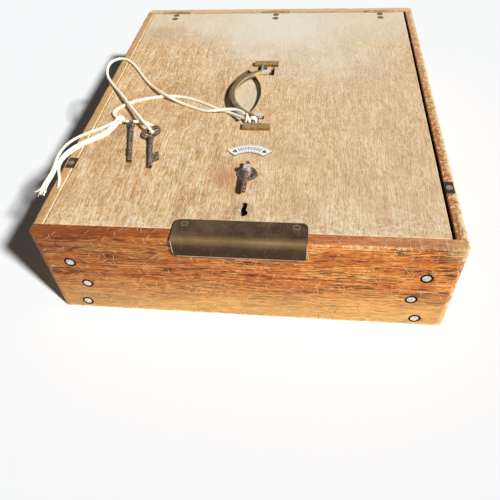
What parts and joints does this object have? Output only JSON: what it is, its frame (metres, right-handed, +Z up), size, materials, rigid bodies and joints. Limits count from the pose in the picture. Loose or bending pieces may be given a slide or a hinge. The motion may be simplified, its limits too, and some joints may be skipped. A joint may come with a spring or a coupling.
{
  "type": "wooden money box",
  "caption": "Shallow wooden cash box with a hinged flush lid, drop handle, turn handle that throws side bolts, key lock and keys on a string.",
  "frame": {"origin": "middle of the underside of the closed box, on the surface that it stands on", "axes": "+Z up, -Y towards the front board with the edge plate, +X to the right seen from the front"},
  "size_m": [0.3155, 0.3744, 0.0947],
  "materials": {
    "front_wood": "worn reddish-brown stain, grain along the board",
    "side_wood": "worn brown stain, rubbed pale along the top",
    "base_wood": "bare, dusty",
    "lid_wood": "pale, bare and scratched, grain from front to back",
    "plain_steel": "dull grey",
    "rivet_steel": "rubbed bright",
    "dark_washer": "blackened",
    "dark_brass": "dark brown patina, rubbed at the bend",
    "hinge_brass": "dull brown patina",
    "lug_brass": "dark patina on top, brighter in front",
    "bail_brass": "grey-brown patina",
    "label_white": "white enamel with plain grey marks",
    "key_iron": "brown rust with worn bright spots",
    "cotton": "twisted cream cotton"
  },
  "bodies": {
    "case": {"front_board": "front_wood", "back_board": "front_wood", "left_side": "side_wood", "right_side": "side_wood", "base_panel": "base_wood", "base_nails": "plain_steel", "corner_rivets": "rivet_steel", "rivet_washers": "dark_washer", "corner_angle_back_right": "plain_steel", "corner_angle_back_left": "plain_steel", "corner_angle_front_right": "plain_steel", "corner_angle_front_left": "plain_steel", "left_strike_plate": "dark_brass", "right_strike_plate": "dark_brass", "lock_strike": "dark_brass", "case_screws": "plain_steel", "hinge_1_case_leaf": "hinge_brass", "hinge_2_case_leaf": "hinge_brass", "hinge_3_case_leaf": "hinge_brass", "hinge_1_pin": "plain_steel", "hinge_2_pin": "plain_steel", "hinge_3_pin": "plain_steel"},
    "lid": {"lid_panel": "lid_wood", "hinge_1_lid_leaf": "hinge_brass", "hinge_2_lid_leaf": "hinge_brass", "hinge_3_lid_leaf": "hinge_brass", "hinge_lid_rivets": "dark_brass", "edge_plate": "dark_brass", "edge_plate_rivets": "dark_brass", "front_handle_lug": "lug_brass", "back_handle_lug": "lug_brass", "lug_rivets": "lug_brass", "label_plate": "label_white", "label_pins": "rivet_steel", "turn_rose": "dark_brass", "lock_case": "hinge_brass", "lock_cap": "hinge_brass", "drill_pin": "plain_steel", "left_bolt_guides": "hinge_brass", "right_bolt_guides": "hinge_brass", "lid_screws": "plain_steel", "string_loop": "cotton", "string_return": "cotton", "string_tie": "cotton", "string_end_long": "cotton", "string_end_middle": "cotton", "string_end_short": "cotton", "string_knot": "cotton", "string_hitch": "cotton", "key_1": "key_iron", "key_2": "key_iron"},
    "bail": {"bail_handle": "bail_brass"},
    "turn_handle": {"turn_spindle": "rivet_steel", "turn_bar": "key_iron", "turn_bar_pin": "key_iron", "crank": "plain_steel", "crank_nut": "plain_steel"},
    "left_bolt": {"left_bolt": "plain_steel"},
    "right_bolt": {"right_bolt": "plain_steel"},
    "lock_bolt": {"lock_bolt": "plain_steel"}
  },
  "joints": [
    {"name": "lid_hinge", "type": "hinge", "parent": "case", "child": "lid", "pos_m": [0, 0.175, 0.086], "axis": [-1, 0, 0], "range_deg": [0, 110]},
    {"name": "bail_hinge", "type": "hinge", "parent": "lid", "child": "bail", "pos_m": [-0.0046, 0, 0.0877], "axis": [0, 1, 0], "range_deg": [0, 90]},
    {"name": "handle_turn", "type": "hinge", "parent": "lid", "child": "turn_handle", "pos_m": [-0.002, -0.1145, 0.086], "axis": [0, 0, 1], "range_deg": [0, 50]},
    {"name": "left_bolt_slide", "type": "slide", "parent": "lid", "child": "left_bolt", "axis": [-1, 0, 0], "range_m": [0, 0.0076]},
    {"name": "right_bolt_slide", "type": "slide", "parent": "lid", "child": "right_bolt", "axis": [1, 0, 0], "range_m": [0, 0.0076]},
    {"name": "lock_bolt_slide", "type": "slide", "parent": "lid", "child": "lock_bolt", "axis": [0, -1, 0], "range_m": [0, 0.008]}
  ],
  "couplings": [
    {"joint": "handle_turn", "follows": "left_bolt_slide", "rad_per_m": 114.72},
    {"joint": "right_bolt_slide", "follows": "left_bolt_slide", "ratio": 1}
  ]
}
